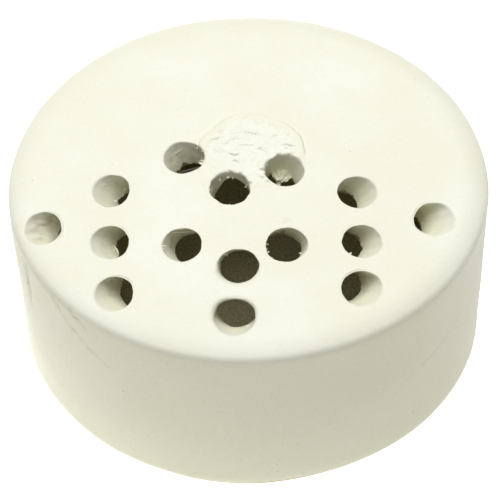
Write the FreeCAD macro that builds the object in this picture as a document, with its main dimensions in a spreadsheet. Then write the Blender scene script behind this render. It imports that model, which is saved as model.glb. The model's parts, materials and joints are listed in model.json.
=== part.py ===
import FreeCAD, Part
import os

import Sketcher
from FreeCAD import Vector

# Flower frog: a low hollow pottery drum, open below. It stands in a bowl, and fifteen slanted holes
# through its top hold stems that fan outwards. Millimetres, +Z up, origin at the centre of the foot.

# Driving dimensions, each set once
DRIVING = {
    "top_diameter": 110,      # across the rim
    "base_diameter": 109,     # the side narrows a little towards the foot
    "overall_height": 46.5,   # foot to the flat of the top
    "shoulder_width": 6.5,    # the top rolls over this far in from the rim
    "shoulder_drop": 1.5,
    "rim_round": 0.6,
    "wall_thickness": 5.5,    # clay only
    "disc_thickness": 5.5,    # clay only
    "coil_radius": 3.5,       # fillet of clay where the wall meets the disc
    "foot_bevel": 1,
    "glaze_thickness": 0.5,
    "glaze_stop": 1.5,        # height above the foot where the glaze ends
    "hole_diameter": 9,       # clear width of a glazed hole, measured level
    "hole_margin": 6.5,       # rim to the centre of the outermost hole
    "fan_depth": 34,          # each hole aims at the axis, this far below the top
    "patch_diameter": 25.5,   # rough round patch behind the middle
    "patch_height": 0.6,
    "patch_edge": 0.4,        # how far the side of the patch leans in
    "patch_x": 1,
    "patch_y": 7,
    "overrun": 1.5,           # how far a cutting core runs past the clay
}

# Where each hole enters the top: its bearing in degrees from +X, and its reach, the share of the
# distance from the axis to the outermost hole. They were punched freehand, so they follow no rule.
HOLES = [
    (158.5, 0.320), (3.5, 0.175), (228.0, 0.130), (188.0, 0.645), (344.5, 0.530),
    (198.5, 1.000), (339.0, 0.920), (213.0, 0.770), (235.0, 0.545), (290.0, 0.495),
    (318.5, 0.690), (264.5, 0.590), (230.0, 0.960), (304.0, 0.895), (265.0, 0.905),
]

# Sizes that follow from the driving ones
FOLLOWING = {
    "rim_radius": "=sizes.top_diameter / 2",
    "rim_height": "=sizes.overall_height - sizes.shoulder_drop",
    "flat_radius": "=rim_radius - sizes.shoulder_width",
    "base_radius": "=sizes.base_diameter / 2",
    "flare": "=(rim_radius - base_radius) / rim_height",
    "skin_edge_radius": "=base_radius + flare * sizes.glaze_stop",
    # the clay under the glaze
    "clay_top": "=sizes.overall_height - sizes.glaze_thickness",
    "clay_rim_height": "=rim_height - sizes.glaze_thickness",
    "clay_base_radius": "=base_radius - sizes.glaze_thickness",
    "clay_rim_radius": "=clay_base_radius + flare * clay_rim_height",
    # the seam, where the disc lies on the wall
    "seam_height": "=clay_top - sizes.disc_thickness",
    "seam_radius": "=clay_base_radius + flare * seam_height",
    "seam_bore": "=seam_radius - sizes.wall_thickness",
    "coil_inner_radius": "=seam_bore - sizes.coil_radius",
    "coil_foot_height": "=seam_height - sizes.coil_radius",
    "coil_foot_radius": "=seam_bore - flare * sizes.coil_radius",
    # the foot
    "bevel_radius": "=clay_base_radius + flare * sizes.foot_bevel",
    "bevel_bore": "=bevel_radius - sizes.wall_thickness",
    "foot_radius": "=bevel_radius - sizes.foot_bevel",
    "foot_bore": "=bevel_bore + sizes.foot_bevel",
    # the holes
    "hole_radius": "=sizes.hole_diameter / 2",
    "clay_hole_radius": "=hole_radius + sizes.glaze_thickness",
    "hole_reach": "=rim_radius - sizes.hole_margin",
    "core_top": "=sizes.overall_height + sizes.patch_height + sizes.overrun",
    "core_foot": "=coil_foot_height - sizes.overrun",
    "core_top_share": "=1 + (core_top - sizes.overall_height) / sizes.fan_depth",
    "core_foot_share": "=1 - (sizes.overall_height - core_foot) / sizes.fan_depth",
}
for number, (bearing, reach) in enumerate(HOLES, start=1):
    FOLLOWING[f"hole_x_{number}"] = f"=hole_reach * {reach} * cos({bearing})"
    FOLLOWING[f"hole_y_{number}"] = f"=hole_reach * {reach} * sin({bearing})"

doc = FreeCAD.newDocument("flower_frog")


def add_sheet(name, cells):
    """A spreadsheet with one named cell per row."""
    sheet = doc.addObject("Spreadsheet::Sheet", name)
    for row, (alias, content) in enumerate(cells.items(), start=1):
        sheet.set(f"A{row}", alias)
        sheet.set(f"B{row}", str(content))
        sheet.setAlias(f"B{row}", alias)
    doc.recompute()
    return sheet


sizes = add_sheet("sizes", DRIVING)
shape = add_sheet("shape", FOLLOWING)


def cell(name):
    """The sheet that holds a named size, and the expression that reads it."""
    sheet = sizes if name in DRIVING else shape
    return sheet, f"{sheet.Name}.{name}"


def pin_corner(sketch, line, end, name, direction):
    """Holds one coordinate of a profile's corner: on an axis where the name is None, else at that size."""
    if name is None:
        axis = -2 if direction == "DistanceX" else -1
        sketch.addConstraint(Sketcher.Constraint("PointOnObject", line, end, axis))
        return
    sheet, expression = cell(name)
    size = float(getattr(sheet, name))
    index = sketch.addConstraint(Sketcher.Constraint(direction, -1, 1, line, end, size))
    sketch.setExpression(f"Constraints[{index}]", expression)


def turned(label, corners, arc=None):
    """A body turned about Z. Corners are (radius, height) names, None for zero, in order round the profile.

    The side that starts at corner number arc is a round one, tangent to the side after it.
    """
    body = doc.addObject("PartDesign::Body", label)
    sketch = body.newObject("Sketcher::SketchObject", f"{label}_profile")
    plane = next(item for item in body.Origin.OriginFeatures if item.Role == "XZ_Plane")
    sketch.AttachmentSupport = [(plane, "")]
    sketch.MapMode = "FlatFace"

    def place(names):
        return Vector(*(0.0 if name is None else float(getattr(cell(name)[0], name)) for name in names))

    points = [place(names) for names in corners]
    count = len(points)
    for index in range(count):
        start, end = points[index], points[(index + 1) % count]
        if index == arc:
            after = points[(index + 2) % count]
            away = (after - end).normalize()
            chord = start - end
            across = chord - away * chord.dot(away)
            radius = chord.Length ** 2 / (2 * across.Length)
            centre = end + across.normalize() * radius
            middle = centre + ((start + end) / 2 - centre).normalize() * radius
            sketch.addGeometry(Part.Arc(start, middle, end))
        else:
            sketch.addGeometry(Part.LineSegment(start, end))

    def ends(index):
        """Which point of a side is its start and which its end: an arc always runs anticlockwise."""
        side = sketch.Geometry[index]
        return (1, 2) if side.StartPoint.distanceToPoint(points[index]) < 1e-6 else (2, 1)

    for index in range(count):
        following = (index + 1) % count
        kind = "Tangent" if index == arc else "Coincident"
        joint = Sketcher.Constraint(kind, index, ends(index)[1], following, ends(following)[0])
        sketch.addConstraint(joint)
        radius_name, height_name = corners[index]
        pin_corner(sketch, index, ends(index)[0], radius_name, "DistanceX")
        pin_corner(sketch, index, ends(index)[0], height_name, "DistanceY")
    turn = body.newObject("PartDesign::Revolution", f"{label}_turn")
    turn.Profile = sketch
    turn.ReferenceAxis = (sketch, ["V_Axis"])
    turn.Angle = 360
    doc.recompute()
    return body


def slanted_cores(label, radius_name):
    """Round-sectioned cores, one through each hole, all leaning towards one point on the axis."""
    cores = []
    for number in range(1, len(HOLES) + 1):
        x, y = f"shape.hole_x_{number}", f"shape.hole_y_{number}"
        ring = doc.addObject("Part::Circle", f"{label}_ring_{number}")
        ring.setExpression("Radius", f"shape.{radius_name}")
        ring.setExpression("Placement.Base.x", f"{x} * shape.core_top_share")
        ring.setExpression("Placement.Base.y", f"{y} * shape.core_top_share")
        ring.setExpression("Placement.Base.z", "shape.core_top")
        core = doc.addObject("Part::Extrusion", f"{label}_core_{number}")
        core.Base = ring
        core.DirMode = "Custom"
        core.setExpression("Dir.x", f"{x} * (shape.core_foot_share - shape.core_top_share)")
        core.setExpression("Dir.y", f"{y} * (shape.core_foot_share - shape.core_top_share)")
        core.setExpression("Dir.z", "shape.core_foot - shape.core_top")
        core.Solid = True
        cores.append(core)
    return joined(label, cores)


def joined(label, pieces):
    """Several objects fused into one."""
    fusion = doc.addObject("Part::MultiFuse", label)
    fusion.Shapes = pieces
    doc.recompute()
    return fusion


def combined(kind, label, base, tool):
    """A Part::Cut or Part::Common of two objects."""
    result = doc.addObject(kind, label)
    result.Base = base
    result.Tool = tool
    doc.recompute()
    return result


def round_rim(body):
    """Rounds the sharp circle where the side meets the shoulder."""
    turn = body.Tip
    rim = [
        f"Edge{index}"
        for index, edge in enumerate(turn.Shape.Edges, start=1)
        if hasattr(edge.Curve, "Radius")
        and abs(edge.Curve.Radius - shape.rim_radius) < 1e-6
        and abs(edge.BoundBox.ZMax - shape.rim_height) < 1e-6
    ]
    fillet = body.newObject("PartDesign::Fillet", f"{body.Name}_rim")
    fillet.Base = (turn, rim)
    fillet.setExpression("Radius", "sizes.rim_round")
    body.Tip = fillet
    doc.recompute()


# Wall: a strip of clay joined into a ring, its foot bevelled inside and out
drum_wall = turned("drum_wall", [
    ("foot_bore", None), ("foot_radius", None), ("bevel_radius", "foot_bevel"),
    ("seam_radius", "seam_height"), ("seam_bore", "seam_height"), ("bevel_bore", "foot_bevel"),
])

# Disc: a slab laid on the wall, its top edge rolled down before the rim, pierced by the holes
disc_blank = turned("disc_blank", [
    (None, "seam_height"), ("seam_radius", "seam_height"), ("clay_rim_radius", "clay_rim_height"),
    ("flat_radius", "clay_top"), (None, "clay_top"),
], arc=2)
clay_cores = slanted_cores("clay_cores", "clay_hole_radius")
top_disc = combined("Part::Cut", "top_disc", disc_blank, clay_cores)

# Coil: a string of clay thumbed into the corner under the disc, left hollow-sided
coil_ring = turned("coil_ring", [
    ("coil_foot_radius", "coil_foot_height"), ("coil_inner_radius", "seam_height"),
    ("seam_bore", "seam_height"),
], arc=0)
corner_coil = combined("Part::Cut", "corner_coil", coil_ring, clay_cores)

# Glaze: a skin of glass over the side and top, and a lining down every hole
skin_envelope = turned("skin_envelope", [
    (None, "glaze_stop"), ("skin_edge_radius", "glaze_stop"), ("rim_radius", "rim_height"),
    ("flat_radius", "overall_height"), (None, "overall_height"),
], arc=2)
round_rim(skin_envelope)
skin_core = turned("skin_core", [
    (None, None), ("clay_base_radius", None), ("clay_rim_radius", "clay_rim_height"),
    ("flat_radius", "clay_top"), (None, "clay_top"),
], arc=2)
skin = combined("Part::Cut", "skin", skin_envelope, skin_core)
roof = joined("roof", [disc_blank, coil_ring])
linings = combined("Part::Common", "linings", clay_cores, roof)
glass = joined("glass", [skin, linings])
clear_cores = slanted_cores("clear_cores", "hole_radius")
glaze_coat = combined("Part::Cut", "glaze_coat", glass, clear_cores)

# Patch: a thin rough round on the glaze, bitten by the holes it touches
patch_blank = doc.addObject("Part::Cone", "patch_blank")
patch_blank.setExpression("Radius1", "sizes.patch_diameter / 2")
patch_blank.setExpression("Radius2", "sizes.patch_diameter / 2 - sizes.patch_edge")
patch_blank.setExpression("Height", "sizes.patch_height")
patch_blank.setExpression("Placement.Base.x", "sizes.patch_x")
patch_blank.setExpression("Placement.Base.y", "sizes.patch_y")
patch_blank.setExpression("Placement.Base.z", "sizes.overall_height")
seat_patch = combined("Part::Cut", "seat_patch", patch_blank, clear_cores)

doc.recompute()
for item in doc.Objects:
    if "Invalid" in item.State or "Error" in item.State:
        raise RuntimeError(f"{item.Label} did not recompute: {item.State}")
for part, blank in ((top_disc, disc_blank), (glaze_coat, glass), (seat_patch, patch_blank)):
    if part.Shape.Volume >= blank.Shape.Volume:
        raise RuntimeError(f"{part.Label}: the holes cut nothing")

os.makedirs("parts", exist_ok=True)
for part in (drum_wall, top_disc, corner_coil, glaze_coat, seat_patch):
    solid = part.Shape
    if solid.isNull() or not solid.isValid() or len(solid.Solids) != 1:
        raise RuntimeError(f"{part.Label} is not one sound solid")
    solid.exportStep(f"parts/{part.Label}.step")
    box = solid.BoundBox
    print(f"{part.Label}: {box.XLength:.2f} x {box.YLength:.2f} x {box.ZLength:.2f} mm,"
          f" {solid.Volume / 1000:.2f} cm3")
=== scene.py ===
import json
import math
import random

import bmesh
import bpy
import numpy as np
from mathutils import Matrix, Vector, geometry, kdtree, noise


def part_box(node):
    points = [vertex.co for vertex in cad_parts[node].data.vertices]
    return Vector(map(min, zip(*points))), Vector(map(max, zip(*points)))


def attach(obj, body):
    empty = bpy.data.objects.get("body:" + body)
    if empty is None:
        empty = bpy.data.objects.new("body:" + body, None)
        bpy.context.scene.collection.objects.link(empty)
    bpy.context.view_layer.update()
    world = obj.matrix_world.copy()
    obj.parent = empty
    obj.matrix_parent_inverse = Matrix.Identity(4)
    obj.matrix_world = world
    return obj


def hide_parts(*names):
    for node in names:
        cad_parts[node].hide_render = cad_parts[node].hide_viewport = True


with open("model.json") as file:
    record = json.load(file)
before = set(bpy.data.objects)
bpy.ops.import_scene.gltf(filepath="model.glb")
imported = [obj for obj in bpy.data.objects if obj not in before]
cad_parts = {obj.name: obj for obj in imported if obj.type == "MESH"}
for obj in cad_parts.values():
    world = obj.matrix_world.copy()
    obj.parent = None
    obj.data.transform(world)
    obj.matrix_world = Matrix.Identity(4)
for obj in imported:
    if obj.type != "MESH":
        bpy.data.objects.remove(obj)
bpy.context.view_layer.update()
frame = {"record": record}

# A hand-built pottery flower frog: a low drum with an ivory glaze, fifteen holes punched freehand
# through its top, and a rough round seat behind the middle. Shapes are worked out in millimetres.
MM = 0.001
TURN = 2 * math.pi


def box_of(node):
    """Lowest and highest corners of a frame node, in millimetres."""
    return tuple(np.array(corner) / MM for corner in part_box(node))


glaze_low, glaze_high = box_of("glaze_coat")
slab_low, slab_high = box_of("top_disc")
coil_low, coil_high = box_of("corner_coil")
seat_low, seat_high = box_of("seat_patch")

# The drum
RIM = glaze_high[0]               # radius at the rim
TOP = glaze_high[2]               # height of the flat of the top
SHOULDER_WIDTH = 6.5              # the top rolls over this far in from the rim
SHOULDER_DROP = 1.5
SHOULDER_ARC = (SHOULDER_WIDTH ** 2 + SHOULDER_DROP ** 2) / (2 * SHOULDER_DROP)
RIM_HEIGHT = TOP - SHOULDER_DROP
RIM_ROUND = 1.2                   # the corner between the shoulder and the side
SIDE_TAPER = 0.5                  # the rim's radius is this much more than the foot's
FLARE = SIDE_TAPER / RIM_HEIGHT
GLAZE_END = glaze_low[2]          # the glaze stops this far above the foot
GLAZE_DEPTH = TOP - slab_high[2]  # thickness of the glaze
GLAZE_SKIN = 0.8 * GLAZE_DEPTH    # thinner than the gap, so that it clears the clay
SEAM = slab_low[2]                # the slab lies on the wall here
WALL = 5.5                        # thickness of the clay wall
FOOT_BEVEL = 1.0
HOLE_RADIUS = 4.5

# The seat
SEAT_RADIUS = (seat_high[1] - seat_low[1]) / 2
SEAT_X = seat_high[0] - SEAT_RADIUS
SEAT_Y = (seat_high[1] + seat_low[1]) / 2
SEAT_RISE = seat_high[2] - TOP

# How finely the meshes are made
ROUND = 360                       # points round the drum
HOLE_ROUND = 96                   # points round a hole
TOP_NET = 1.15
SLAB_NET = 1.3
CLAY_TOP_NET = 2.4
SEAT_NET = 0.27
SIDE_ROWS = 34                    # rings down the glazed side
RIM_STEPS = 6                     # rings over the rim's corner
LIP_STEPS = 6                     # rings over a hole's lip
WALL_STEPS = 13                   # rings down a hole's wall
WELD = 0.002                      # points closer than this are one


# ---------------------------------------------------------------- unevenness

def waves(seed, lobes, strength):
    """An uneven closed line: a function of the angle round it, made of a few sines."""
    draw = random.Random(seed)
    parts = [(lobe, draw.uniform(0.5, 1.0) * strength / lobe ** 0.6, draw.uniform(0, TURN)) for lobe in lobes]

    def line(angle):
        return sum(size * np.sin(lobe * angle + phase) for lobe, size, phase in parts)

    return line


def ripples(points, size, strength, seed):
    """Smooth unevenness at each point: hollows and swellings size across, up to strength high."""
    shift = Vector((seed * 7.3, seed * 3.1, seed * 5.7))
    return np.array([noise.noise(Vector(point) / size + shift) for point in points]) * strength


def step(value, low, high):
    """0 below low, 1 above high, and a smooth change between them."""
    share = np.clip((value - low) / (high - low), 0, 1)
    return share * share * (3 - 2 * share)


def bend(share):
    """Weights of the start, the corner and the end of a rounded corner, this share of the way round it."""
    return (1 - share) ** 2, 2 * share * (1 - share), share ** 2


def flat_points(x, y):
    return np.stack([x, y, np.zeros_like(x)], axis=-1).reshape(-1, 3)


rim_waves = waves(11, (2, 3, 5, 9), 0.22)
side_angles = np.arange(ROUND) * TURN / ROUND


def rim_radius(angle):
    return RIM + rim_waves(angle)


def top_height(x, y):
    """Height of the glazed top: flat, a little uneven, and rolled over at the shoulder."""
    reach, angle = np.hypot(x, y), np.arctan2(y, x)
    over = np.clip(reach - rim_radius(angle) + SHOULDER_WIDTH, 0, None)
    drop = SHOULDER_ARC - np.sqrt(SHOULDER_ARC ** 2 - over ** 2)
    places = flat_points(x, y)
    swell = ripples(places, 31, 0.16, 1) + ripples(places, 8, 0.035, 2)
    return TOP - drop + swell.reshape(np.shape(x))


def side_radius(angle, height):
    """Radius of the glazed side, with the faint facets left by paddling."""
    places = np.stack([np.cos(angle) * RIM, np.sin(angle) * RIM, height * 1.6], axis=-1).reshape(-1, 3)
    uneven = ripples(places, 24, 0.22, 3) + ripples(places, 6, 0.05, 4)
    fade = step(RIM_HEIGHT - height, 0, 6)
    return rim_radius(angle) - FLARE * (RIM_HEIGHT - height) + fade * uneven.reshape(np.shape(angle))


# ---------------------------------------------------------------- the stem holes

# What sets a hole apart: how round its lip is on the inner and outer side, how much wider and longer than
# a circle it is, how far it sits from where it was meant to be, how wavy its outline and how ragged its
# lower edge are, how crumpled its wall is, and where clay was torn off its underside, as (bearing in
# degrees, half width in degrees, depth at which the tear starts)
PLAIN = {
    "inner": 0.3, "outer": 0.4, "wide": 0.0, "long": 1.0, "shift": 0.0, "outline": 0.05, "ragged": 0.6,
    "crumple": 0.05, "torn": (0, 1, 6.0),
}
TRAITS = {
    1: {"wide": 0.5, "shift": -0.25, "ragged": 1.1, "outline": 0.08, "crumple": 0.2},
    2: {"long": 0.8, "ragged": 1.0, "crumple": 0.12},
    3: {"wide": 0.2, "ragged": 0.9, "outline": 0.1, "crumple": 0.3, "torn": (84, 80, 1.9)},
    4: {"wide": -0.6, "shift": -0.35, "ragged": 1.2},
    5: {"long": 0.7, "ragged": 0.7, "crumple": 0.2, "outer": 0.5},
    6: {
        "inner": 0.25, "outer": 0.25, "wide": -0.6, "shift": -0.45, "long": 0.7, "crumple": 0.9,
        "outline": 0.06,
    },
    7: {"long": 1.1, "crumple": 0.06, "outline": 0.08, "outer": 0.45},
    8: {"wide": -0.5, "long": 0.9, "ragged": 0.5},
    9: {"wide": -0.3, "ragged": 0.3},
    10: {"wide": 0.4, "ragged": 1.8, "outline": 0.08},
    11: {"wide": -0.2, "long": 0.7, "ragged": 1.2, "outline": 0.06},
    12: {"outer": 1.5, "ragged": 0.3},
    13: {"wide": -0.7, "shift": -0.15, "outer": 0.5, "ragged": 0.4},
    14: {"wide": -0.2, "outer": 0.5, "ragged": 0.3},
    15: {"inner": 2.2, "outer": 0.35, "long": 0.8, "ragged": 0.4},
}
HOLE_ANGLES = np.arange(HOLE_ROUND) * TURN / HOLE_ROUND
LIP_TURN = 0.85                   # depth of a lip's rounding, as a share of its reach


class StemHole:
    """One slanted hole: its wall keeps a level round section and leans towards the drum's axis below."""

    def __init__(self, number, mouth, axis):
        self.number = number
        self.traits = {**PLAIN, **TRAITS[number]}
        self.x, self.y = mouth[0] / MM + self.traits["shift"], mouth[1] / MM
        self.lean = np.array(axis[:2]) / axis[2]
        self.outline = waves(number * 17, (2, 3, 5, 7, 11), self.traits["outline"] * 2)

    def centre(self, depth):
        """Where the axis is, this far below the top."""
        return self.x - self.lean[0] * depth, self.y - self.lean[1] * depth

    def radius(self, angle):
        stretch = self.traits["wide"] * np.cos(angle) ** 2 + self.traits["long"] * np.sin(angle) ** 2
        return HOLE_RADIUS + stretch / 2 + self.outline(angle)

    def lip(self, angle):
        """How far the rounding of the edge reaches: more on the outer side, where the corner is blunt."""
        slope = np.hypot(*self.lean)
        facing = (np.cos(angle) * self.lean[0] + np.sin(angle) * self.lean[1]) / slope
        share = step(facing, -0.8, 0.8)
        return self.traits["inner"] * (1 - share) + self.traits["outer"] * share

    def edge(self, angle, grow=0.0, depth=0.0):
        """A closed line round the hole, grown outwards, at a depth."""
        x, y = self.centre(depth)
        reach = self.radius(angle) + grow
        return x + reach * np.cos(angle), y + reach * np.sin(angle)

    def ragged(self, angle):
        """How far the torn lower edge strays up or down."""
        places = flat_points(np.cos(angle), np.sin(angle)) * HOLE_RADIUS
        coarse = ripples(places, 2.6, self.traits["ragged"], self.number)
        fine = ripples(places, 0.75, self.traits["ragged"] * 0.8, self.number + 40)
        return (coarse + fine).reshape(np.shape(angle))

    def torn(self, angle):
        """Share, from 0 to 1, of the clay torn off the underside in each direction."""
        bearing, width, _ = self.traits["torn"]
        away = np.abs((angle - math.radians(bearing) + math.pi) % TURN - math.pi)
        return np.cos(np.clip(away / math.radians(width), 0, 1) * math.pi / 2) ** 2

    def lower_end(self, angle):
        share = self.torn(angle)
        return (SEAM + self.ragged(angle)) * (1 - share) + (TOP - self.traits["torn"][2]) * share

    def exit_radius(self, angle):
        """Radius of the opening in the underside of the slab."""
        tear = 1.1 * (TOP - self.traits["torn"][2] - SEAM) * self.torn(angle)
        return self.radius(angle) + GLAZE_DEPTH + tear

    def channel(self, grow=0.0):
        """Rings from the top, over the lip and down the wall, as (ring, point, xyz)."""
        angle, lip = HOLE_ANGLES, self.lip(HOLE_ANGLES)
        start_x, start_y = self.edge(angle, lip + grow)
        corner_x, corner_y = self.edge(angle, grow)
        corner_z = top_height(corner_x, corner_y)
        turned = lip * LIP_TURN
        end_x, end_y = self.edge(angle, grow, turned)
        rings = []
        for share in np.linspace(0, 1, LIP_STEPS):
            first, second, third = bend(share)
            x = first * start_x + second * corner_x + third * end_x
            y = first * start_y + second * corner_y + third * end_y
            z = first * top_height(start_x, start_y) + second * corner_z + third * (corner_z - turned)
            rings.append(np.stack([x, y, z], axis=-1))
        length = corner_z - turned - self.lower_end(angle)
        for share in np.linspace(0, 1, WALL_STEPS)[1:]:
            depth = turned + share * length
            fold = np.stack([3 * np.cos(angle), 3 * np.sin(angle), depth * 0.7], axis=-1)
            uneven = ripples(fold, 1.1, self.traits["crumple"], self.number) * math.sin(math.pi * share)
            x, y = self.edge(angle, grow + uneven, depth)
            rings.append(np.stack([x, y, corner_z - depth], axis=-1))
        return np.array(rings)


stem_holes = [
    StemHole(int(mount["name"].rsplit("_", 1)[1]), mount["pos_m"], mount["axis"])
    for mount in frame["record"]["mounts"]
    if mount["name"].startswith("stem_hole_")
]
hole = {each.number: each for each in stem_holes}


# ---------------------------------------------------------------- mesh making

def inside(points, loop):
    """Which points lie inside a closed loop, by counting the sides that a level ray crosses."""
    x, y = points[:, 0, None], points[:, 1, None]
    start, end = loop, np.roll(loop, -1, axis=0)
    crossed = (start[:, 1] > y) != (end[:, 1] > y)
    rise = np.where(end[:, 1] == start[:, 1], 1.0, end[:, 1] - start[:, 1])
    at = start[:, 0] + (y - start[:, 1]) * (end[:, 0] - start[:, 0]) / rise
    return (crossed & (x < at)).sum(axis=1) % 2 == 1


def within_sheet(points, outline, openings):
    kept = inside(points, outline)
    for opening in openings:
        kept &= ~inside(points, opening)
    return kept


def sheet_net(outline, openings, spacing):
    """Points and triangles of a flat sheet with openings: an even net, fitted to every edge."""
    low, high = outline.min(axis=0), outline.max(axis=0)
    rows = np.arange(low[1], high[1], spacing * math.sqrt(3) / 2)
    columns = np.arange(low[0], high[0], spacing)
    net = np.array([(x + spacing / 2 * (row % 2), y) for row, y in enumerate(rows) for x in columns])
    net = net[within_sheet(net, outline, openings)]
    loops = [outline, *openings]
    edge = np.vstack(loops)
    near = kdtree.KDTree(len(edge))
    for index, (x, y) in enumerate(edge):
        near.insert((x, y, 0), index)
    near.balance()
    net = np.array([point for point in net if near.find((*point, 0))[2] > 0.6 * spacing])
    sides, start = [], 0
    for loop in loops:
        count = len(loop)
        sides += [(start + index, start + (index + 1) % count) for index in range(count)]
        start += count
    corners = [Vector(point) for point in np.vstack([edge, net])]
    made, _, faces, *_ = geometry.delaunay_2d_cdt(corners, sides, [], 0, 1e-6)
    made, faces = np.array(made), np.array(faces)
    faces = faces[within_sheet(made[faces].mean(axis=1), outline, openings)]
    first, second, third = (made[faces[:, index]] for index in range(3))
    turn = np.cross(second - first, third - first)
    faces[turn < 0] = faces[turn < 0][:, ::-1]
    return made, faces


class Form:
    """Collects the surfaces of one piece, in millimetres, and joins them into one mesh."""

    def __init__(self):
        self.points, self.faces = [], []

    def add(self, points, faces):
        start = len(self.points)
        self.points += [tuple(point) for point in points]
        self.faces += [tuple(int(index) + start for index in face) for face in faces]

    def sheet(self, flat, faces, heights, down=False):
        """A flat net lifted to its heights, facing up or down."""
        self.add(np.column_stack([flat, heights]), faces[:, ::-1] if down else faces)

    def strip(self, rings, inward=False):
        """A band through closed rings, from the top one down, facing outwards or inwards."""
        rows, count = rings.shape[:2]
        faces = []
        for row in range(rows - 1):
            for index in range(count):
                following = (index + 1) % count
                upper, lower = row * count, (row + 1) * count
                face = (upper + index, lower + index, lower + following, upper + following)
                faces.append(face[::-1] if inward else face)
        self.add(rings.reshape(-1, 3), faces)

    def piece(self, name):
        mesh = bpy.data.meshes.new(name)
        mesh.from_pydata([tuple(value * MM for value in point) for point in self.points], [], self.faces)
        work = bmesh.new()
        work.from_mesh(mesh)
        bmesh.ops.remove_doubles(work, verts=work.verts, dist=WELD * MM)
        bmesh.ops.dissolve_degenerate(work, edges=work.edges, dist=WELD / 4 * MM)
        work.to_mesh(mesh)
        work.free()
        made = bpy.data.objects.new(name, mesh)
        bpy.context.scene.collection.objects.link(made)
        return made


def soften(piece, angle=48):
    """Smooth shading, except across edges sharper than the angle."""
    piece.data.shade_smooth()
    piece.data.set_sharp_from_angle(angle=math.radians(angle))


def make_real(piece):
    """Turns what the modifiers make into the piece's own mesh."""
    made = bpy.data.meshes.new_from_object(piece.evaluated_get(bpy.context.evaluated_depsgraph_get()))
    piece.modifiers.clear()
    made.name = piece.name
    piece.data = made


def circle(radius, angle=side_angles):
    """Points on a circle round the drum's axis, or on a wavy line if the radius is an array."""
    return np.stack([radius * np.cos(angle), radius * np.sin(angle)], axis=-1)


def ring_at(radius, height, angle=side_angles):
    """A ring of points round the drum's axis at a height."""
    heights = np.broadcast_to(height, np.shape(angle))
    return np.column_stack([circle(radius, angle), heights])


# ---------------------------------------------------------------- glaze

NICK_BEARING = math.radians(204)
NICK_LOW, NICK_HIGH = 27, 43      # heights between which it runs
NICK_DEPTH = 0.42
NICK_WIDTH = 0.7
NICK_SLANT = 0.03


def side_nick(angle, height):
    """A narrow crease down the left of the side, where a finger or a tool caught it."""
    middle = (NICK_LOW + NICK_HIGH) / 2
    across = (angle - NICK_BEARING) * RIM - NICK_SLANT * (height - middle)
    along = step(height, NICK_LOW, NICK_LOW + 3) * (1 - step(height, NICK_HIGH - 3, NICK_HIGH))
    return -NICK_DEPTH * along * np.exp(-(across / NICK_WIDTH) ** 2)


def rim_corner(inset):
    """Rings over the rounded corner between the shoulder and the side."""
    angle = side_angles
    start, corner = rim_radius(angle) - RIM_ROUND - inset, rim_radius(angle) - inset
    start_z = top_height(*circle(start).T) - inset
    corner_z = top_height(*circle(corner).T) - inset
    end_z = corner_z - RIM_ROUND
    end = side_radius(angle, end_z + inset) - inset
    rings = []
    for share in np.linspace(0, 1, RIM_STEPS):
        first, second, third = bend(share)
        radius = first * start + second * corner + third * end
        height = first * start_z + second * corner_z + third * end_z
        rings.append(ring_at(radius, height))
    return rings, end_z


def glaze_skin():
    """The glass over the top and side and down every hole, closed as a thin skin."""
    form = Form()
    outline = circle(rim_radius(side_angles) - RIM_ROUND)
    openings = [np.stack(each.edge(HOLE_ANGLES, each.lip(HOLE_ANGLES)), axis=-1) for each in stem_holes]
    flat, faces = sheet_net(outline, openings, TOP_NET)
    form.sheet(flat, faces, top_height(*flat.T))
    for each in stem_holes:
        form.strip(each.channel(), inward=True)
    rings, start = rim_corner(0.0)
    end_waves = waves(23, (3, 8, 13, 21), 0.3)
    end = GLAZE_END + 0.3 + end_waves(side_angles)
    for share in np.linspace(0, 1, SIDE_ROWS)[1:]:
        height = start + share * (end - start)
        rings.append(ring_at(side_radius(side_angles, height) + side_nick(side_angles, height), height))
    last = side_radius(side_angles, end)
    for back, down in ((0.06, 0.16), (0.2, 0.27), (0.36, 0.3)):
        rings.append(ring_at(last - back, end - down))
    form.strip(np.array(rings))
    piece = form.piece("glaze_skin")
    thin = piece.vertex_groups.new(name="glaze")
    level = np.array([vertex.co.z for vertex in piece.data.vertices]) / MM
    for index, height in enumerate(level):
        thin.add([index], 0.2 if height < GLAZE_END + 0.6 else 1.0, "REPLACE")
    skin = piece.modifiers.new("skin", "SOLIDIFY")
    skin.thickness = GLAZE_SKIN * MM
    skin.offset = -1
    skin.vertex_group = thin.name
    make_real(piece)
    soften(piece, 60)
    return piece


# ---------------------------------------------------------------- clay

BURR_RISE = 0.75


def slab_under(x, y):
    """Height of the slab's underside: smoothed by hand, with a burr pushed up round each hole."""
    places = flat_points(x, y)
    middle = 1 - step(np.hypot(x, y), 43, 47)
    height = SEAM + middle * (ripples(places, 13, 0.35, 5) + ripples(places, 4, 0.1, 6))
    for each in stem_holes:
        at_x, at_y = each.centre(TOP - SEAM)
        angle = np.arctan2(y - at_y, x - at_x)
        off = np.hypot(x - at_x, y - at_y) - each.exit_radius(angle)
        torn = 1 + 0.5 * each.ragged(angle)
        fall = np.exp(-(np.clip(off - 0.2, 0, None) / 0.8) ** 2) * (off > -1)
        height = height - BURR_RISE * torn * middle * fall
    return height


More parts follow.
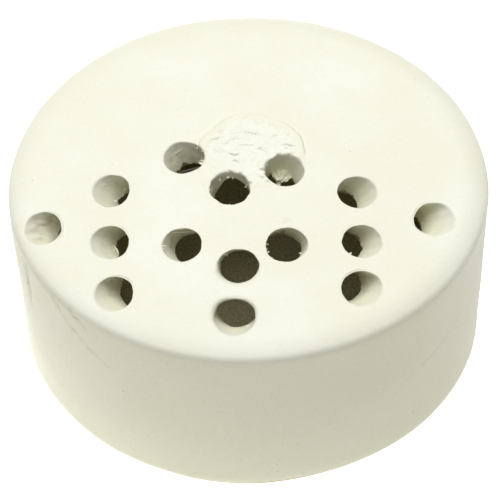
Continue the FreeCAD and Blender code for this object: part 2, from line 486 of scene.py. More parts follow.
def clay_slab():
    """The pierced slab of clay under the glaze."""
    form = Form()
    depth = TOP - SEAM
    top_edge = circle(rim_radius(side_angles) - GLAZE_DEPTH - RIM_ROUND)
    lips = [each.channel(GLAZE_DEPTH)[:LIP_STEPS] - (0, 0, GLAZE_DEPTH) for each in stem_holes]
    flat, faces = sheet_net(top_edge, [lip[0, :, :2] for lip in lips], CLAY_TOP_NET)
    form.sheet(flat, faces, top_height(*flat.T) - GLAZE_DEPTH)
    side = side_radius(side_angles, np.full(ROUND, SEAM)) - GLAZE_DEPTH
    wide = [each.exit_radius(HOLE_ANGLES) - each.radius(HOLE_ANGLES) for each in stem_holes]
    lows = [np.stack(each.edge(HOLE_ANGLES, grow, depth), axis=-1) for each, grow in zip(stem_holes, wide)]
    flat, faces = sheet_net(circle(side), lows, SLAB_NET)
    form.sheet(flat, faces, slab_under(*flat.T), down=True)
    for each, lip, exit_line, grow in zip(stem_holes, lips, lows, wide):
        upper, lower = lip[-1], np.column_stack([exit_line, slab_under(*exit_line.T)])
        start = (each.traits["torn"][2] - 0.5) / depth
        rings = list(lip)
        for share in np.linspace(0, 1, 10)[1:]:
            late = max(0.0, (share - start) / (1 - start)) if start < 0.9 else share ** 3
            ring = upper * (1 - share) + lower * share
            extra = (grow - GLAZE_DEPTH) * (late - share)
            ring[:, 0] += extra * np.cos(HOLE_ANGLES)
            ring[:, 1] += extra * np.sin(HOLE_ANGLES)
            rings.append(ring)
        form.strip(np.array(rings), inward=True)
    rings, start = rim_corner(GLAZE_DEPTH)
    rings[0] = np.column_stack([top_edge, top_height(*top_edge.T) - GLAZE_DEPTH])
    low_ring = np.column_stack([circle(side), slab_under(*circle(side).T)])
    upper_ring = rings[-1]
    rings += [upper_ring * (1 - share) + low_ring * share for share in (0.33, 0.67, 1.0)]
    form.strip(np.array(rings))
    piece = form.piece("clay_slab")
    soften(piece)
    return piece


def clay_ring():
    """The clay wall, uneven inside where fingers pressed it, with a bevelled, sanded foot."""
    form = Form()
    angle = side_angles
    outer_rows = np.linspace(SEAM, FOOT_BEVEL, 12)
    inner_rows = np.linspace(FOOT_BEVEL, SEAM, 38)
    foot_waves = waves(41, (4, 9, 14), 0.12)
    sanded = 0.06 + 0.06 * np.sin(3 * angle + 1) + np.abs(ripples(ring_at(RIM, 0.0), 3, 0.05, 9))
    rings = [ring_at(side_radius(angle, np.full(ROUND, row)) - GLAZE_DEPTH, row) for row in outer_rows]
    bevel = side_radius(angle, np.full(ROUND, FOOT_BEVEL)) - GLAZE_DEPTH
    for back, height in ((0.25, 0.5), (0.65, 0.12)):
        edge = bevel - back * FOOT_BEVEL + foot_waves(angle) * back
        rings.append(ring_at(edge, height + sanded * (1 - height)))
    rings.append(ring_at(bevel - FOOT_BEVEL + foot_waves(angle), sanded * 0.3))
    bore = bevel - WALL
    for share in (0.33, 0.67):
        width = (bevel - FOOT_BEVEL) * (1 - share) + (bore + FOOT_BEVEL) * share
        rings.append(ring_at(width, sanded * 0.15))
    rings.append(ring_at(bore + FOOT_BEVEL + foot_waves(angle + 1), sanded * 0.3))
    for row in inner_rows:
        places = ring_at(bore, row) * (1, 1, 1.5)
        pressed = ripples(places, 15, 0.55, 7) + ripples(places, 4.5, 0.16, 8)
        fade = step(row, 0, 4) * (1 - step(row, SEAM - 3.5, SEAM))
        rings.append(ring_at(bore + FLARE * (row - FOOT_BEVEL) + fade * pressed, row))
    rings.append(rings[0])
    form.strip(np.array(rings))
    piece = form.piece("clay_ring")
    soften(piece)
    return piece


def thumbed_coil():
    """The string of clay thumbed into the corner under the slab: one hollow after another."""
    form = Form()
    angle = side_angles
    draw = random.Random(5)
    marks = 27
    turns = (np.arange(marks) + [draw.uniform(-0.22, 0.22) for _ in range(marks)]) * TURN / marks
    away = np.abs((angle[:, None] - turns + math.pi) % TURN - math.pi) * RIM
    press = np.exp(-(away / 3.4) ** 2).max(axis=1)
    foot, inner, outer = coil_low[2], coil_high[0] - (SEAM - coil_low[2]), coil_high[0]
    rings = []
    for share in np.linspace(0, 1, 11):
        first, second, third = bend(share)
        radius = first * (inner + 0.4) + second * (outer - 0.9) + third * (outer - 0.1)
        height = first * (SEAM - 0.02) + second * (SEAM - 0.9) + third * (foot + 0.3)
        bulge = math.sin(math.pi * share) * (0.75 * (1 - press) - 0.15)
        rough = ripples(ring_at(radius, height), 2.2, 0.14, 12) * math.sin(math.pi * share)
        rings.append(ring_at(radius - (bulge + rough) * 0.7, height - (bulge + rough) * 0.7))
    rings += [ring_at(outer + 0.1, foot + 0.4), ring_at(outer + 0.15, SEAM), rings[0]]
    form.strip(np.array(rings))
    piece = form.piece("thumbed_coil")
    soften(piece)
    return piece


# ---------------------------------------------------------------- the rough seat

# Bearing in degrees and radius of its outline, uneven as slip squeezed out from under something
SEAT_OUTLINE = [
    (0, 12.3), (21, 12.35), (40, 12.1), (60, 11.9), (90, 12.6), (108, 13.2), (125, 12.3), (140, 11.7),
    (164, 12.7), (190, 12.1), (207, 12.2), (219, 12.6), (245, 12.2), (268, 12.4), (290, 13.2), (318, 12.0),
    (346, 12.7),
]
# Wrinkles: where each starts, bends and ends from the middle of the seat, its height and its width
WRINKLES = [
    ((-4.5, 6.1), (1.0, 7.0), (5.0, 3.6), 0.16, 0.45), ((4.5, 3.8), (8.0, 1.2), (10.6, 1.6), 0.13, 0.4),
    ((-9.6, 6.9), (-7.2, 8.0), (-6.9, 5.6), 0.2, 0.4), ((-7.0, 5.7), (-8.0, 3.6), (-9.3, 4.6), 0.18, 0.35),
    ((-6.6, 3.2), (-4.0, 4.6), (-2.2, 4.1), 0.12, 0.35), ((-5.8, 0.2), (-4.2, -1.6), (-2.6, -0.6), 0.14, 0.4),
    ((-5.2, -3.3), (-3.4, -1.9), (-2.4, -4.5), 0.17, 0.4), ((0.6, 0.4), (2.2, 1.5), (3.4, 0.0), 0.13, 0.35),
    ((-3.4, 1.6), (-1.0, 2.6), (1.4, 1.7), 0.09, 0.3), ((1.4, -2.6), (2.6, -5.8), (1.2, -8.4), 0.12, 0.5),
    ((4.6, 8.6), (7.4, 7.6), (8.6, 5.2), 0.07, 0.6), ((-1.8, 9.4), (1.4, 10.3), (4.3, 9.7), 0.06, 0.5),
    ((6.0, -0.6), (5.0, -3.2), (6.2, -5.0), 0.1, 0.4), ((-8.9, 1.0), (-7.4, 2.2), (-7.8, -0.9), 0.1, 0.35),
]
SEAT_PLATEAU = 0.3
SEAT_RIDGE = 0.14


def seat_radius(angle):
    """Radius of the seat's outline at an angle."""
    bearings = np.radians([bearing for bearing, _ in SEAT_OUTLINE])
    radii = [radius for _, radius in SEAT_OUTLINE]
    smooth = np.interp(angle % TURN, bearings, radii, period=TURN)
    return smooth + waves(61, (9, 14, 23), 0.2)(angle)


def wrinkle_rise(x, y):
    """Height of the wrinkles at points measured from the middle of the seat."""
    rise = np.zeros_like(x)
    for start, middle, end, height, width in WRINKLES:
        share = np.linspace(0, 1, 14)[:, None]
        first, second, third = bend(share)
        line = first * np.array(start) + second * np.array(middle)
        line = line + third * np.array(end)
        away = np.hypot(x[:, None] - line[:, 0], y[:, None] - line[:, 1])
        fade = np.sin(np.pi * (0.08 + 0.84 * share[:, 0]))
        rise = np.maximum(rise, (height * fade * np.exp(-(away / width) ** 2)).max(axis=1))
    return rise


def near_hole(x, y):
    """How far a point of the top is from the nearest of the holes that bite into the seat."""
    gaps = [np.hypot(x - each.x, y - each.y) - HOLE_RADIUS for each in (hole[1], hole[2], hole[3])]
    return np.min(gaps, axis=0)


def seat_relief(x, y):
    """The crumpling: soft folds, sharp creases, the listed wrinkles and lumps beside the holes."""
    places = flat_points(x, y)
    soft = ripples(places, 2.6, 0.12, 21) + ripples(places, 1.1, 0.045, 22) + ripples(places, 0.6, 0.02, 23)
    patches = step(ripples(places, 4.5, 1.0, 28), -0.1, 0.25)
    crease = 0.13 * (1 - np.abs(ripples(places, 3.1, 1.0, 24)) * 5.5).clip(0, 1) ** 2
    crease += 0.08 * patches * (1 - np.abs(ripples(places, 1.5, 1.0, 27)) * 4.5).clip(0, 1) ** 2
    torn = 1 - step(near_hole(x + SEAT_X, y + SEAT_Y), 0.5, 1.8)
    lumps = 0.4 * step(ripples(places, 1.3, 1.0, 25), 0.05, 0.4) * torn
    return soft + crease + 1.7 * wrinkle_rise(x, y) + lumps


def lip_drop(x, y):
    """How far the glazed top has turned down at a point close to a hole, and how close that is."""
    drop, nearest = np.zeros_like(x), np.full_like(x, 99.0)
    for number in (1, 2, 3):
        each = hole[number]
        angle = np.arctan2(y - each.y, x - each.x)
        off = np.hypot(x - each.x, y - each.y) - each.radius(angle)
        lip = each.lip(angle)
        share = 1 - np.sqrt(np.clip(off / lip, 0, 1))
        drop = np.maximum(drop, lip * LIP_TURN * share ** 2)
        nearest = np.minimum(nearest, off)
    return drop, nearest


def mark_points(piece, name, values):
    """Stores one number for each point of a mesh, for its finish to read."""
    piece.data.attributes.new(name, "FLOAT", "POINT").data.foreach_set("value", values.astype(np.float32))


def rough_seat():
    """The crumpled slip where something once sat: a raised edge line round a wrinkled flat."""
    angle = np.arange(220) * TURN / 220
    radius = seat_radius(angle)
    outline = np.column_stack([SEAT_X + radius * np.cos(angle), SEAT_Y + radius * np.sin(angle)])
    bites = [
        np.stack(hole[number].edge(HOLE_ANGLES, 0.2 * hole[number].lip(HOLE_ANGLES)), axis=-1)
        for number in (1, 2, 3)
    ]
    flat, faces = sheet_net(outline, bites, SEAT_NET)
    x, y = flat[:, 0] - SEAT_X, flat[:, 1] - SEAT_Y
    from_edge = np.clip(seat_radius(np.arctan2(y, x)) - np.hypot(x, y), 0, None)
    drop, from_hole = lip_drop(*flat.T)
    behind = step(y, -6.0, 3.0)
    inner = step(from_edge, 0.9, 2.8)
    ridge = SEAT_RIDGE * np.exp(-((from_edge - 0.45) / 0.28) ** 2) * (0.2 + 0.8 * behind)
    shore = 0.4 + 1.6 * (1 - behind)
    rise = SEAT_PLATEAU * step(from_edge / shore, 0.0, 1.0) * (0.85 - 0.25 * inner) + ridge
    rise += (0.15 + 0.85 * inner) * (0.25 + 0.75 * step(from_edge, 0.2, 0.8)) * seat_relief(x, y)
    rise = np.clip(rise, 0.015, SEAT_RISE + 0.2) * (0.3 + 0.7 * step(from_hole, 0.0, 0.5))
    base = top_height(*flat.T) - drop
    form = Form()
    form.sheet(flat, faces, base + rise)
    form.sheet(flat, faces, base - 0.12, down=True)
    sides = {(int(start), int(end)) for face in faces for start, end in zip(face, np.roll(face, -1))}
    open_sides = [(start, end) for start, end in sides if (end, start) not in sides]
    count = len(flat)
    form.faces += [(start, start + count, end + count, end) for start, end in sorted(open_sides)]
    piece = form.piece("rough_seat")
    made = np.array([vertex.co for vertex in piece.data.vertices]) / MM
    x, y = made[:, 0] - SEAT_X, made[:, 1] - SEAT_Y
    mark_points(piece, "from_edge", seat_radius(np.arctan2(y, x)) - np.hypot(x, y))
    # The relief's slope towards the front, for the finish to paint shade on the front side of each ridge.
    mark_points(piece, "front_slope", (seat_relief(x, y + 0.15) - seat_relief(x, y - 0.15)) / 0.3)
    soften(piece, 70)
    return piece


# ---------------------------------------------------------------- burrs at the holes

# Hole, bearing round it in degrees, depth, how far it stands in, its width and its thickness
BURRS = [
    (1, 343, 0.9, 1.9, 0.9, 0.5), (1, 352, 0.7, 1.3, 0.7, 0.8), (1, 54, 0.9, 0.7, 0.6, 0.5),
    (1, 62, 4.2, 0.7, 0.5, 0.5), (1, 75, 5.4, 0.8, 0.9, 0.4), (1, 30, 0.5, 0.6, 0.5, 0.3),
    (2, 80, 5.6, 2.8, 2.7, 2.1), (2, 98, 5.5, 2.5, 2.2, 1.6), (2, 62, 5.8, 2.6, 2.3, 1.6),
    (2, 84, 6.4, 3.4, 1.9, 1.5), (2, 92, 4.9, 1.7, 1.3, 1.0), (2, 72, 4.8, 1.6, 1.2, 0.9),
    (2, 150, 0.4, 0.5, 0.6, 0.3), (7, 104, 5.7, 2.6, 3.4, 1.2), (7, 130, 5.6, 2.4, 3.0, 1.1),
    (3, 121, 1.7, 0.6, 0.7, 1.3), (3, 97, 1.3, 0.7, 1.3, 0.35), (3, 84, 1.8, 0.8, 0.5, 0.6),
    (3, 43, 3.2, 0.9, 0.7, 0.7), (3, 36, 2.2, 0.5, 0.4, 0.6), (3, 183, 0.2, 0.4, 0.8, 0.4),
    (3, 268, 0.3, 0.5, 0.5, 0.4), (3, 290, 0.35, 0.45, 0.6, 0.3), (3, 246, 0.3, 0.35, 0.4, 0.3),
    (4, 166, 5.3, 0.8, 0.7, 0.6), (4, 112, 5.2, 0.7, 0.6, 0.6), (4, 134, 1.9, 0.25, 0.6, 0.6),
    (4, 10, 0.3, 0.5, 0.5, 0.35), (4, 20, 0.5, 0.5, 0.35, 0.3), (4, 320, 0.9, 0.4, 0.4, 0.3),
    (6, 125, 1.9, 0.3, 2.2, 0.35), (6, 12, 0.6, 0.55, 0.5, 0.35), (6, 346, 0.4, 0.35, 0.4, 0.3),
    (9, 183, 0.3, 1.0, 0.5, 0.4), (9, 193, 0.5, 0.5, 0.4, 0.4), (9, 172, 0.3, 0.4, 0.4, 0.3),
    (10, 172, 1.0, 0.9, 0.5, 0.4), (10, 204, 1.3, 1.1, 0.6, 0.4), (10, 192, 0.7, 0.6, 0.4, 0.35),
    (10, 228, 0.9, 0.6, 0.5, 0.35), (10, 340, 4.6, 0.8, 0.8, 0.5),
    (11, 238, 1.0, 1.4, 0.7, 0.5), (11, 222, 0.7, 0.6, 0.4, 0.3), (12, 126, 3.0, 0.7, 0.7, 1.0),
    (12, 131, 1.6, 0.5, 0.35, 0.7), (15, 300, 4.3, 0.5, 0.9, 0.4), (8, 188, 5.4, 0.5, 0.5, 0.4),
]
BURR_GRAIN = 0.07  # fineness of the mesh that fuses touching lumps


def add_burr(form, place, inward, size, seed):
    """A torn lump of clay and glaze: a ball drawn out along inward, roughened."""
    work = bmesh.new()
    bmesh.ops.create_icosphere(work, subdivisions=3, radius=1.0)
    points = np.array([vertex.co for vertex in work.verts])
    faces = [[vertex.index for vertex in face.verts] for face in work.faces]
    work.free()
    rough = 1 + ripples(points, 0.7, 0.5, seed) + ripples(points, 0.35, 0.3, seed + 50)
    reach, width, thick = size
    taper = 1 - 0.35 * (points[:, 0] + 1) / 2
    local = points * rough[:, None] * (0.65 * reach, width / 2, thick / 2) + (0.35 * reach, 0, 0)
    local[:, 1:] *= taper[:, None]
    side = np.array((-inward[1], inward[0], 0.0))
    up = np.array((0.0, 0.0, 1.0))
    form.add(place + local[:, :1] * inward + local[:, 1:2] * side + local[:, 2:] * up, faces)


def curl(form, each, start, end, depths, size, seed):
    """A thin curl of glaze lying along part of a hole's wall, from one depth to another."""
    draw = random.Random(seed)
    angles = np.radians(np.linspace(start, end, 26))
    rings = []
    for index, angle in enumerate(angles):
        share = index / (len(angles) - 1)
        thick = size * math.sin(math.pi * share) ** 0.6 + 0.015
        depth = depths[0] * (1 - share) + depths[1] * share
        x, y = each.edge(angle, -2 * size * math.sin(math.pi * share) - 0.02, depth)
        centre = np.array((x, y, TOP - depth))
        out = np.array((math.cos(angle), math.sin(angle), 0.0))
        up = np.array((0.0, 0.0, 1.0))
        tilt = draw.uniform(-0.2, 0.2)
        ring = [
            centre + thick * (math.cos(turn + tilt) * out * 1.3 + math.sin(turn + tilt) * up * 0.8)
            for turn in np.arange(10) * TURN / 10
        ]
        rings.append(ring)
    rings = np.array(rings)
    form.strip(rings, inward=False)
    count = rings.shape[1]
    start_cap, total = len(form.points) - rings.shape[0] * count, len(form.points)
    form.faces.append(tuple(range(start_cap, start_cap + count)))
    form.faces.append(tuple(range(total - 1, total - count - 1, -1)))


def hole_burrs():
    """The slivers and lumps that the punch left at the holes, glazed over."""
    form = Form()
    for seed, (number, bearing, depth, stand, width, thick) in enumerate(BURRS):
        each, angle = hole[number], math.radians(bearing)
        x, y = each.edge(angle, 0.15, depth)
        inward = np.array((-math.cos(angle), -math.sin(angle), 0.0))
        add_burr(form, np.array((float(x), float(y), TOP - depth)), inward, (stand, width, thick), seed)
    curl(form, hole[9], 66, 124, (2.9, 0.9), 0.24, 3)
    curl(form, hole[8], 168, 214, (5.2, 5.9), 0.2, 4)
    curl(form, hole[1], 100, 132, (2.0, 2.4), 0.07, 5)
    piece = form.piece("hole_burrs")
    work = bmesh.new()
    work.from_mesh(piece.data)
    bmesh.ops.recalc_face_normals(work, faces=work.faces)
    work.to_mesh(piece.data)
    work.free()
    fuse = piece.modifiers.new("fuse", "REMESH")
    fuse.mode, fuse.voxel_size = "VOXEL", BURR_GRAIN * MM
    make_real(piece)
    soften(piece, 70)
    return piece


# ---------------------------------------------------------------- finishes

class Wire:
    """A node's output that takes Python's operators: numbers through Math, vectors through Vector Math."""

    def __init__(self, finish, socket):
        self.finish, self.socket = finish, socket

    def joined(self, operation, first, second):
        vector = any(isinstance(side, Wire) and side.socket.type == "VECTOR" for side in (first, second))
        if vector:
            sides = [(side,) * 3 if isinstance(side, (int, float)) else side for side in (first, second)]
            first, second = sides
        kind = "ShaderNodeVectorMath" if vector else "ShaderNodeMath"
        return self.finish.node(kind, {"operation": operation}, {0: first, 1: second})

    def __add__(self, other):
        return self.joined("ADD", self, other)

    def __sub__(self, other):
        return self.joined("SUBTRACT", self, other)

    def __rsub__(self, other):
        return self.joined("SUBTRACT", other, self)

    def __mul__(self, other):
        return self.joined("MULTIPLY", self, other)

    def __pow__(self, other):
        return self.joined("POWER", self, other)

    __radd__ = __add__
    __rmul__ = __mul__


class Finish:
    """A material in the making."""

    def __init__(self, name):
        self.material = bpy.data.materials.new(name)
        self.material.use_nodes = True
        self.tree = self.material.node_tree
        self.shader = self.tree.nodes["Principled BSDF"]
        self.place = self.node("ShaderNodeTexCoord", {}, {}, "Object") * (1 / MM)

    def node(self, kind, settings, sockets, output=0):
        """Adds a node, sets it up, then gives its sockets their values or links."""
        made = self.tree.nodes.new(kind)
        for name, value in settings.items():
            setattr(made, name, value)
        for key, value in sockets.items():
            if isinstance(value, Wire):
                self.tree.links.new(value.socket, made.inputs[key])
            else:
                made.inputs[key].default_value = value
        return Wire(self, made.outputs[output])

    def cloud(self, size, detail=2.0, roughness=0.5, stretch=(1, 1, 1), shift=0.0):
        """Noise from 0 to 1 with features this many millimetres across."""
        place = self.place * tuple(value / size for value in stretch) + shift
        sockets = {"Vector": place, "Scale": 1.0, "Detail": detail, "Roughness": roughness}
        return self.node("ShaderNodeTexNoise", {"noise_dimensions": "3D"}, sockets, 0)

    def between(self, value, low, high):
        """0 below low, 1 above high, smooth between."""
        settings = {"interpolation_type": "SMOOTHSTEP"}
        return self.node("ShaderNodeMapRange", settings, {"Value": value, "From Min": low, "From Max": high})

    def mix(self, share, first, second):
        """Two colours mixed by a share."""
        first, second = ((*side, 1.0) if isinstance(side, tuple) else side for side in (first, second))
        return self.node("ShaderNodeMix", {"data_type": "RGBA"}, {0: share, 6: first, 7: second}, 2)

    def along(self, axis):
        """One coordinate of the place, in millimetres."""
        return self.node("ShaderNodeSeparateXYZ", {}, {0: self.place}, axis)

    def bump(self, height, distance, strength=1.0, under=None):
        """A Bump node: height 1 stands this many millimetres out."""
        sockets = {"Height": height, "Distance": distance * MM, "Strength": strength}
        if under is not None:
            sockets["Normal"] = under
        return self.node("ShaderNodeBump", {}, sockets)

    def paint(self, **sockets):
        """Sets or links the shader's sockets, named with underscores for spaces."""
        for name, value in sockets.items():
            socket = self.shader.inputs[name.replace("_", " ")]
            if isinstance(value, Wire):
                self.tree.links.new(value.socket, socket)
            else:
                socket.default_value = value
        return self.material


IVORY = (0.845, 0.838, 0.685)
IVORY_THICK = (0.865, 0.862, 0.738)
IVORY_THIN = (0.775, 0.76, 0.565)
IVORY_SIDE_SHADED = (0.745, 0.735, 0.565)
IVORY_OLIVE = (0.87, 0.86, 0.665)
IVORY_SPECK = (0.70, 0.685, 0.50)
STREAK_AND_SHADE_GREY = (0.43, 0.415, 0.29)
SPECK_BROWN = (0.34, 0.27, 0.18)
BUFF = (0.56, 0.49, 0.34)
BUFF_LIGHT = (0.66, 0.59, 0.43)
GROG = (0.28, 0.22, 0.14)

# Marks on the side: bearing in degrees and height of both ends, width and strength. The two that run down at
# bearings 203 to 205, over the nick, are painted shade in its crease; the rest are streak marks.
SIDE_MARKS = [
    (201, 41.0, 211, 44.0, 1.4, 0.13), (209, 44.0, 219, 42.8, 1.5, 0.2),
    (217, 43.0, 224, 37.5, 1.5, 0.24), (223.5, 38.0, 230, 34.0, 1.2, 0.22),
    (229, 34.6, 235, 32.3, 1.0, 0.16), (215.5, 44.6, 224, 43.8, 0.8, 0.25),
    (223.5, 44.0, 228, 41.0, 1.1, 0.24), (203.3, 42.0, 203.0, 34.5, 0.5, 0.45),
    (203.0, 35.0, 205.0, 27.5, 0.7, 0.4), (225, 42.8, 226.5, 42.9, 0.5, 0.4),
    (238, 26.0, 239.0, 26.2, 0.45, 0.4), (322, 26.5, 313.5, 24.0, 1.1, 0.1),
    (314, 24.0, 327.5, 27.3, 1.1, 0.1),
]
# Marks on the top: x and y of both ends, width and strength
TOP_MARKS = [
    (1.9, -5.3, 4.1, -5.45, 0.22, 0.6), (3.8, -5.4, 5.4, -5.0, 0.18, 0.35),
    (-27.6, -4.2, -27.2, -5.4, 0.2, 0.4),
]


def marks(finish, across, up, lines, waver):
    """Lines as a mask from 0 to 1, on any two coordinates in millimetres."""
    total = 0.0
    for start, start_up, end, end_up, width, strength in lines:
        reach = (end - start, end_up - start_up)
        length = math.hypot(*reach)
        right, above = across - start, up - start_up
        share = (right * reach[0] + above * reach[1]) * (1 / length ** 2)
        share = finish.node("ShaderNodeClamp", {}, {0: share, 1: 0.0, 2: 1.0})
        off_right, off_up = right - share * reach[0] + waver, above - share * reach[1] + waver
        gap = (off_right * off_right + off_up * off_up) ** 0.5
        total = finish.between(gap, width, 0.1 * width) * strength + total
    return total


def glaze_finish():
    """Ivory glaze: glossy, softly mottled, a little thin at edges, with a few specks and streak marks. The
    side is painted darker and the holes yellower, partly as thinner glaze and partly as painted shade, and a
    painted shadow runs down the nick's crease.
    """
    finish = Finish("ivory_glaze")
    height, x, y = finish.along(2), finish.along(0), finish.along(1)
    bearing = finish.node("ShaderNodeMath", {"operation": "ARCTAN2"}, {0: 0.0 - y, 1: 0.0 - x}) + math.pi
    around = bearing * RIM
    mottle = finish.cloud(26, 3.0, 0.55)
    brushed = finish.cloud(7, 4.0, 0.6, (0.35, 0.35, 2.6), 9.0)
    fine = finish.cloud(0.9, 2.0, 0.6, shift=31.0)
    thick = finish.between(mottle, 0.35, 0.68)
    colour = finish.mix(thick, IVORY, IVORY_THICK)
    on_side = 1 - finish.between(height, RIM_HEIGHT - 1.5, RIM_HEIGHT + 0.3)
    # The side is painted darker and yellower than the top: partly a thinner glaze, partly painted shade.
    colour = finish.mix(on_side * 0.9, colour, IVORY_SIDE_SHADED)
    worn = finish.between(brushed, 0.46, 0.66) * on_side
    colour = finish.mix(worn * 0.2, colour, IVORY_THIN)
    grain = finish.between(fine, 0.5, 0.75) * (0.16 + on_side * 0.34)
    colour = finish.mix(grain, colour, IVORY_SPECK)
    cloudy = finish.between(finish.cloud(3.2, 4.0, 0.7, shift=37.0), 0.48, 0.68) * on_side
    colour = finish.mix(cloudy * 0.14, colour, IVORY_SPECK)
    within = 1 - finish.between((x * x + y * y) ** 0.5, RIM - 2.0, RIM - 1.4)
    down_hole = (1 - finish.between(height, TOP - 4.0, TOP - 0.6)) * within
    # Down the holes the glaze is painted yellower: partly a thinner glaze over the buff clay, partly the
    # painted colour of light bounced round inside each hole.
    colour = finish.mix(down_hole * 0.85, colour, IVORY_OLIVE)
    specks = finish.between(finish.cloud(0.75, 1.0, 0.5, shift=57.0), 0.745, 0.78)
    cluster = finish.between(finish.cloud(11, 1.0, 0.5, shift=71.0), 0.5, 0.66)
    colour = finish.mix(specks * cluster * 0.55, colour, SPECK_BROWN)
    side_lines = [
        (math.radians(start) * RIM, low, math.radians(end) * RIM, high, width, strength)
        for start, low, end, high, width, strength in SIDE_MARKS
    ]
    # Streak marks on the side, with painted shade down the nick's crease.
    streaks_and_nick_shade = marks(finish, around, height, side_lines, (finish.cloud(2.2, 4.0, 0.65) - 0.5) * 2.6)
    broken = finish.between(finish.cloud(1.3, 3.0, shift=91.0), 0.3, 0.62)
    colour = finish.mix(streaks_and_nick_shade * on_side * (0.3 + broken * 0.7), colour, STREAK_AND_SHADE_GREY)
    # A grey spot on the top.
    spot_x, spot_y = x - 7.8, (y + 15.3) * 1.5
    grey_spot = finish.between((spot_x * spot_x + spot_y * spot_y) ** 0.5, 2.2, 0.3)
    grey_spot = grey_spot * finish.between(finish.cloud(1.2, 3.0), 0.3, 0.7)
    on_top = finish.between(height, TOP - 1.0, TOP - 0.5)
    scratches = marks(finish, x, y, TOP_MARKS, (finish.cloud(0.8, 2.0, shift=23.0) - 0.5) * 0.5)
    colour = finish.mix((grey_spot * 0.28 + scratches) * on_top, colour, STREAK_AND_SHADE_GREY)
    peel = finish.bump(finish.cloud(4.5, 2.0, 0.5, shift=5.0), 0.05)
    grit = finish.bump(finish.cloud(0.55, 2.0, 0.5, shift=15.0), 0.006, under=peel)
    striae = finish.bump(finish.cloud(0.75, 3.0, 0.6, (1.0, 1.0, 0.3), 19.0) * down_hole, 0.16, under=grit)
    roughness = 0.46 + finish.between(mottle, 0.3, 0.7) * -0.08 + grain * 0.3
    return finish.paint(Base_Color=colour, Roughness=roughness, Normal=striae, IOR=1.5)


def clay_finish():
    """Bare fired clay: buff, matte and gritty, with darker grog and paler smears."""
    finish = Finish("bare_clay")
    smear = finish.cloud(9, 4.0, 0.6)
    grit = finish.cloud(0.8, 3.0, 0.65, shift=12.0)
    colour = finish.mix(finish.between(smear, 0.35, 0.7), BUFF, BUFF_LIGHT)
    grog = finish.between(finish.cloud(0.6, 1.0, 0.5, shift=27.0), 0.66, 0.74)
    colour = finish.mix(grog * 0.6, colour, GROG)
    coarse = finish.bump(finish.cloud(3.2, 3.0, 0.6, shift=3.0), 0.22)
    fine = finish.bump(grit, 0.09, under=coarse)
    return finish.paint(Base_Color=colour, Roughness=0.82 + (grit - 0.5) * 0.15, Normal=fine)


def seat_finish():
    """Crumpled slip under thin glaze: pale, with painted shade on the front side of its ridges and a darker
    line along the back of its edge.
    """
    finish = Finish("crumpled_slip")
    from_edge = finish.node("ShaderNodeAttribute", {"attribute_name": "from_edge"}, {}, "Fac")
    slope = finish.node("ShaderNodeAttribute", {"attribute_name": "front_slope"}, {}, "Fac")
    y = finish.along(1) - SEAT_Y
    mottle = finish.cloud(3.4, 3.0, 0.6)
    colour = finish.mix(finish.between(mottle, 0.35, 0.65), IVORY_THICK, (0.885, 0.882, 0.76))
    band = finish.between(from_edge, 0.3, 0.7) * (1 - finish.between(from_edge, 1.2, 3.2))
    colour = finish.mix(band * 0.6, colour, (0.84, 0.83, 0.64))
    inner = finish.between(from_edge, 1.2, 2.4)
    broken = finish.between(finish.cloud(2.6, 2.0, shift=81.0), 0.35, 0.6)
    # Painted shade on the front side of each ridge, where the relief slopes towards the front.
    crease = finish.between(slope, 0.1, 0.4) * (0.25 + broken * 0.75)
    colour = finish.mix(crease * inner * 0.6, colour, STREAK_AND_SHADE_GREY)
    specks = finish.between(finish.cloud(0.65, 2.0, 0.6, shift=44.0), 0.62, 0.72)
    cluster = finish.between(finish.cloud(4.2, 1.0, 0.5, shift=64.0), 0.46, 0.6)
    colour = finish.mix(specks * cluster * inner * 0.45, colour, STREAK_AND_SHADE_GREY)
    # A darker line along the back of the edge.
    line = 1 - finish.between(from_edge, 0.2, 0.55)
    behind = finish.between(y, 0.0, 8.0)
    colour = finish.mix(line * behind * (0.2 + broken * 0.3), colour, (0.50, 0.49, 0.36))
    crumple = finish.bump(finish.cloud(1.0, 4.0, 0.65, shift=7.0), 0.07)
    fine = finish.bump(finish.cloud(0.35, 2.0, 0.6, shift=17.0), 0.015, under=crumple)
    roughness = 0.36 + finish.between(mottle, 0.3, 0.7) * 0.2
    return finish.paint(Base_Color=colour, Roughness=roughness, Normal=fine)


# ---------------------------------------------------------------- the pieces

PIECES = [
    (glaze_skin, glaze_finish, "glaze_coat", "glaze"),
    (clay_slab, clay_finish, "top_disc", "clay"),
    (clay_ring, None, "drum_wall", "clay"),
    (thumbed_coil, None, "corner_coil", "clay"),
    (rough_seat, seat_finish, "seat_patch", "patch"),
    (hole_burrs, None, None, "glaze"),
]
finishes = {}
for make, make_finish, node, slot in PIECES:
    piece = make()
    if make_finish:
        finishes[slot] = make_finish()
    piece.data.materials.clear()
    piece.data.materials.append(finishes[slot])
    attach(piece, "root")
    if node:
        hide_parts(node)


# ---------------------------------------------------------------- floor, light and camera

FLOOR_SIDE = 6.0
# The floor's glow is painted light: a pool of light round the drum's foot that brightens its lower side and
# hides its contact shadow.
FLOOR_GLOW = 0.95
GLOW_SHIFT = 8.0                  # the floor's glow is centred this far to the left of the drum
GLOW_PINCH = 1.12                 # and is this much narrower from side to side
GLOW_REACH = 34.0                 # it fades out this far from the rim
GLOW_FAR = 0.3                    # share of it that is left beyond
WORLD_LIGHT = 0.19
# Soft boxes: place in metres, side in metres, watts. The key hangs over the back, the fill over the front
SOFT_BOXES = [((-0.07, 0.4, 1.08), 1.25, 14.2), ((-0.3, -0.3, 1.05), 0.5, 1.4)]
CAMERA_PLACE = Vector((0.0, -0.373, 0.4289))
CAMERA_PITCH = math.radians(42.4)
CAMERA_ROLL = math.radians(-1.56)
CAMERA_LENS = 168


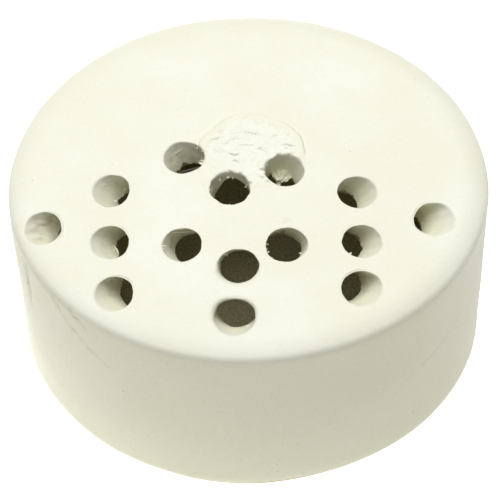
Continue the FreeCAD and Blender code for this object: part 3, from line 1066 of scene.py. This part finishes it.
def lay_floor():
    """A pale floor that glows near the drum as painted light on the drum's lower side and over its contact
    shadow, and is painted a dim, dark olive shade inside the foot.
    """
    mesh = bpy.data.meshes.new("floor")
    half = FLOOR_SIDE / 2
    corners = [(-half, -half, 0), (half, -half, 0), (half, half, 0), (-half, half, 0)]
    mesh.from_pydata(corners, [], [(0, 1, 2, 3)])
    floor = bpy.data.objects.new("floor", mesh)
    bpy.context.scene.collection.objects.link(floor)
    finish = Finish("pale_floor")
    x, y = finish.along(0), finish.along(1)
    reach = (x * x + y * y) ** 0.5
    # Inside the foot the floor is painted dark olive with a mottle: painted shade under the drum, seen
    # through the holes.
    clear = finish.between(reach, RIM - 6.0, RIM - 3.0)
    plain_floor = finish.mix(finish.cloud(300), (0.93, 0.93, 0.925), (0.95, 0.95, 0.945))
    shade_mottle = finish.between(finish.cloud(0.7, 3.0, 0.7), 0.2, 0.8)
    tone = finish.mix(clear, finish.mix(shade_mottle, (0.42, 0.38, 0.2), (0.8, 0.75, 0.5)), plain_floor)
    # The glow is painted light, strongest round the foot and shifted to the left, and left out inside the
    # foot.
    left = (x + GLOW_SHIFT) * GLOW_PINCH
    near = 1 - finish.between((left * left + y * y) ** 0.5, RIM - 2.0, RIM + GLOW_REACH)
    glow = finish.mix(clear * (GLOW_FAR + near * (1 - GLOW_FAR)), (0.014, 0.0125, 0.006), (1.0, 1.0, 0.99))
    floor.data.materials.append(
        finish.paint(Base_Color=tone, Roughness=0.9, Emission_Color=glow, Emission_Strength=FLOOR_GLOW)
    )


def light_scene():
    """Even light from all round, and the soft boxes."""
    world = bpy.data.worlds.new("studio")
    world.use_nodes = True
    world.node_tree.nodes["Background"].inputs["Color"].default_value = (1, 1, 1, 1)
    world.node_tree.nodes["Background"].inputs["Strength"].default_value = WORLD_LIGHT
    bpy.context.scene.world = world
    for place, side, watts in SOFT_BOXES:
        lamp = bpy.data.lights.new("softbox", "AREA")
        lamp.energy, lamp.size = watts, side
        box = bpy.data.objects.new("softbox", lamp)
        box.location = place
        box.rotation_euler = (-Vector(place)).to_track_quat("-Z", "Y").to_euler()
        bpy.context.scene.collection.objects.link(box)
    bpy.context.scene.view_settings.view_transform = "Standard"


def set_camera():
    """A long lens in front of the drum and above it."""
    lens = bpy.data.cameras.new("camera")
    lens.lens = CAMERA_LENS
    lens.clip_start = 0.01
    camera = bpy.data.objects.new("camera", lens)
    turn = Matrix.Rotation(CAMERA_PITCH, 4, "X") @ Matrix.Rotation(CAMERA_ROLL, 4, "Z")
    camera.matrix_world = Matrix.Translation(CAMERA_PLACE) @ turn
    bpy.context.scene.collection.objects.link(camera)
    bpy.context.scene.camera = camera


lay_floor()
light_scene()
set_camera()
